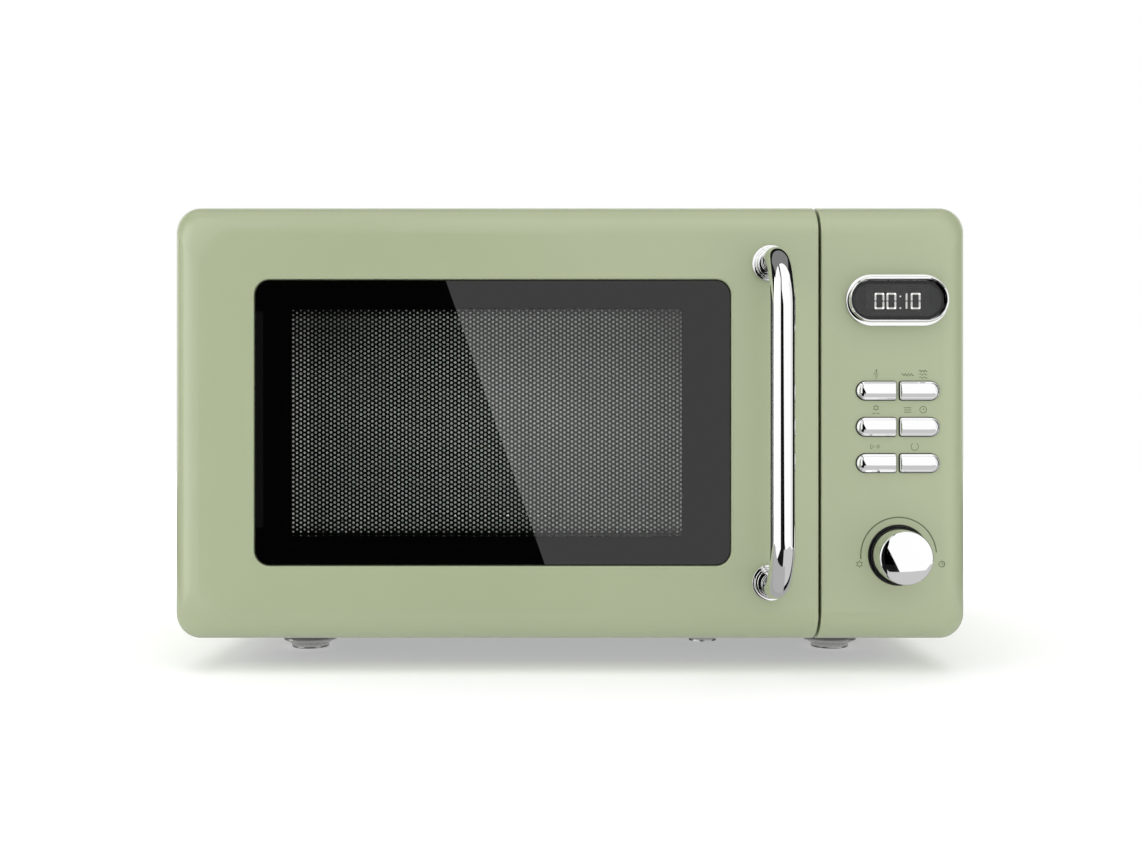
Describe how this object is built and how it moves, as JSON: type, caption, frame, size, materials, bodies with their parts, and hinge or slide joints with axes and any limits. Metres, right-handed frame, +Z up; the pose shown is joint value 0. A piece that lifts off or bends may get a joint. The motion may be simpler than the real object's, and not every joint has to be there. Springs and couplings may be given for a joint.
{
  "type": "microwave oven",
  "caption": "Countertop microwave oven with a rounded green case, a side-hinged glass door with a bar handle, and a control panel with a display, buttons and a knob.",
  "frame": {"origin": "middle of the footprint of the whole oven, handle included, at the soles of the feet", "axes": "+Z up, -Y out of the door, +X to the right as seen from the front"},
  "size_m": [0.44, 0.392, 0.258],
  "materials": {
    "green_paint": "satin powder coat",
    "green_shell": "satin lacquered moulding",
    "chrome": "polished",
    "zinc_steel": "zinc-plated sheet",
    "foot_grey": "grey moulding",
    "enamel": "grey enamel",
    "door_glass": "tinted",
    "dish_glass": "clear tempered",
    "black_screen": "perforated sheet, black",
    "black_plastic": "moulded",
    "smoked_lens": "smoked lens",
    "lit_digits": "lit bars",
    "white_plastic": "moulded",
    "circuit_board": "coated board",
    "mica": "pressed mica sheet",
    "heater_sheath": "heat-tinted sheath",
    "lamp_glass": "bulb and socket",
    "magnetron_metal": "fins and yoke",
    "windings": "laminations and copper wire"
  },
  "bodies": {
    "cabinet": {"cabinet_cover": "green_paint", "base_plate": "zinc_steel", "rear_panel": "zinc_steel", "front_plate": "enamel", "cavity": "enamel", "front_feet": "foot_grey", "middle_foot": "foot_grey", "rear_feet": "foot_grey", "rear_screws": "zinc_steel", "cord_gland": "black_plastic", "hinge_lower": "zinc_steel", "hinge_upper": "zinc_steel", "control_panel": "green_shell", "display_bezel": "chrome", "display_lens": "smoked_lens", "display_module": "black_plastic", "display_digits": "lit_digits", "control_board": "circuit_board", "tact_switches": "black_plastic", "encoder": "zinc_steel", "turntable_motor": "zinc_steel", "waveguide_cover": "mica", "grill_heater": "heater_sheath", "oven_lamp": "lamp_glass", "waveguide": "zinc_steel", "magnetron": "magnetron_metal", "transformer": "windings", "capacitor": "zinc_steel", "fan_duct": "black_plastic", "fan_motor": "windings", "latch_bracket": "white_plastic", "interlock_switches": "black_plastic", "thermostat": "zinc_steel", "filter_board": "circuit_board"},
    "door": {"door_frame": "green_shell", "door_glass": "door_glass", "door_screen": "black_screen", "inner_window": "door_glass", "door_liner": "black_plastic", "handle": "chrome", "handle_collars": "chrome", "handle_screws": "zinc_steel", "latch_spring": "zinc_steel"},
    "latch": {"latch_key": "white_plastic"},
    "button_microwave": {"button_microwave": "chrome"},
    "button_grill": {"button_grill": "chrome"},
    "button_defrost": {"button_defrost": "chrome"},
    "button_clock": {"button_clock": "chrome"},
    "button_start": {"button_start": "chrome"},
    "button_stop": {"button_stop": "chrome"},
    "knob": {"knob": "chrome", "knob_shaft": "zinc_steel"},
    "turntable_drive": {"coupler": "white_plastic"},
    "roller_ring": {"roller_ring": "white_plastic"},
    "wheel_a": {"wheel_a": "white_plastic"},
    "wheel_b": {"wheel_b": "white_plastic"},
    "wheel_c": {"wheel_c": "white_plastic"},
    "turntable": {"turntable": "dish_glass"},
    "fan": {"fan_impeller": "white_plastic"}
  },
  "joints": [
    {"name": "door_hinge", "type": "hinge", "parent": "cabinet", "child": "door", "pos_m": [-0.21, -0.118, 0.1375], "axis": [0, 0, -1], "range_deg": [0, 100]},
    {"name": "latch_lift", "type": "slide", "parent": "door", "child": "latch", "axis": [0, 0, 1], "range_m": [0, 0.004], "stiffness_N_per_m": 300, "springref_m": -0.002, "deforming": ["latch_spring"]},
    {"name": "press_microwave", "type": "slide", "parent": "cabinet", "child": "button_microwave", "axis": [0, 1, 0], "range_m": [0, 0.0015], "stiffness_N_per_m": 600, "springref_m": -0.0003},
    {"name": "press_grill", "type": "slide", "parent": "cabinet", "child": "button_grill", "axis": [0, 1, 0], "range_m": [0, 0.0015], "stiffness_N_per_m": 600, "springref_m": -0.0003},
    {"name": "press_defrost", "type": "slide", "parent": "cabinet", "child": "button_defrost", "axis": [0, 1, 0], "range_m": [0, 0.0015], "stiffness_N_per_m": 600, "springref_m": -0.0003},
    {"name": "press_clock", "type": "slide", "parent": "cabinet", "child": "button_clock", "axis": [0, 1, 0], "range_m": [0, 0.0015], "stiffness_N_per_m": 600, "springref_m": -0.0003},
    {"name": "press_start", "type": "slide", "parent": "cabinet", "child": "button_start", "axis": [0, 1, 0], "range_m": [0, 0.0015], "stiffness_N_per_m": 600, "springref_m": -0.0003},
    {"name": "press_stop", "type": "slide", "parent": "cabinet", "child": "button_stop", "axis": [0, 1, 0], "range_m": [0, 0.0015], "stiffness_N_per_m": 600, "springref_m": -0.0003},
    {"name": "knob_turn", "type": "hinge", "parent": "cabinet", "child": "knob", "pos_m": [0.1789, -0.15, 0.0656], "axis": [0, -1, 0], "continuous": true},
    {"name": "turntable_spin", "type": "hinge", "parent": "cabinet", "child": "turntable_drive", "pos_m": [-0.05, 0.0422, 0.045], "axis": [0, 0, 1], "continuous": true},
    {"name": "turntable_lift", "type": "slide", "parent": "turntable_drive", "child": "turntable", "axis": [0, 0, 1], "range_m": [0, 0.04]},
    {"name": "ring_spin", "type": "hinge", "parent": "cabinet", "child": "roller_ring", "pos_m": [-0.05, 0.0422, 0.04715], "axis": [0, 0, 1], "continuous": true},
    {"name": "wheel_a_spin", "type": "hinge", "parent": "roller_ring", "child": "wheel_a", "pos_m": [-0.05, 0.1422, 0.04715], "axis": [0, 1, 0], "continuous": true},
    {"name": "wheel_b_spin", "type": "hinge", "parent": "roller_ring", "child": "wheel_b", "pos_m": [-0.1366, -0.0078, 0.04715], "axis": [-0.866, -0.5, 0], "continuous": true},
    {"name": "wheel_c_spin", "type": "hinge", "parent": "roller_ring", "child": "wheel_c", "pos_m": [0.0366, -0.0078, 0.04715], "axis": [0.866, -0.5, 0], "continuous": true},
    {"name": "fan_spin", "type": "hinge", "parent": "cabinet", "child": "fan", "pos_m": [0.163, 0.17, 0.15], "axis": [0, 1, 0], "continuous": true}
  ],
  "couplings": [
    {"joint": "ring_spin", "follows": "turntable_spin", "ratio": 0.5},
    {"joint": "wheel_a_spin", "follows": "turntable_spin", "ratio": -6.3694},
    {"joint": "wheel_b_spin", "follows": "turntable_spin", "ratio": -6.3694},
    {"joint": "wheel_c_spin", "follows": "turntable_spin", "ratio": -6.3694}
  ]
}
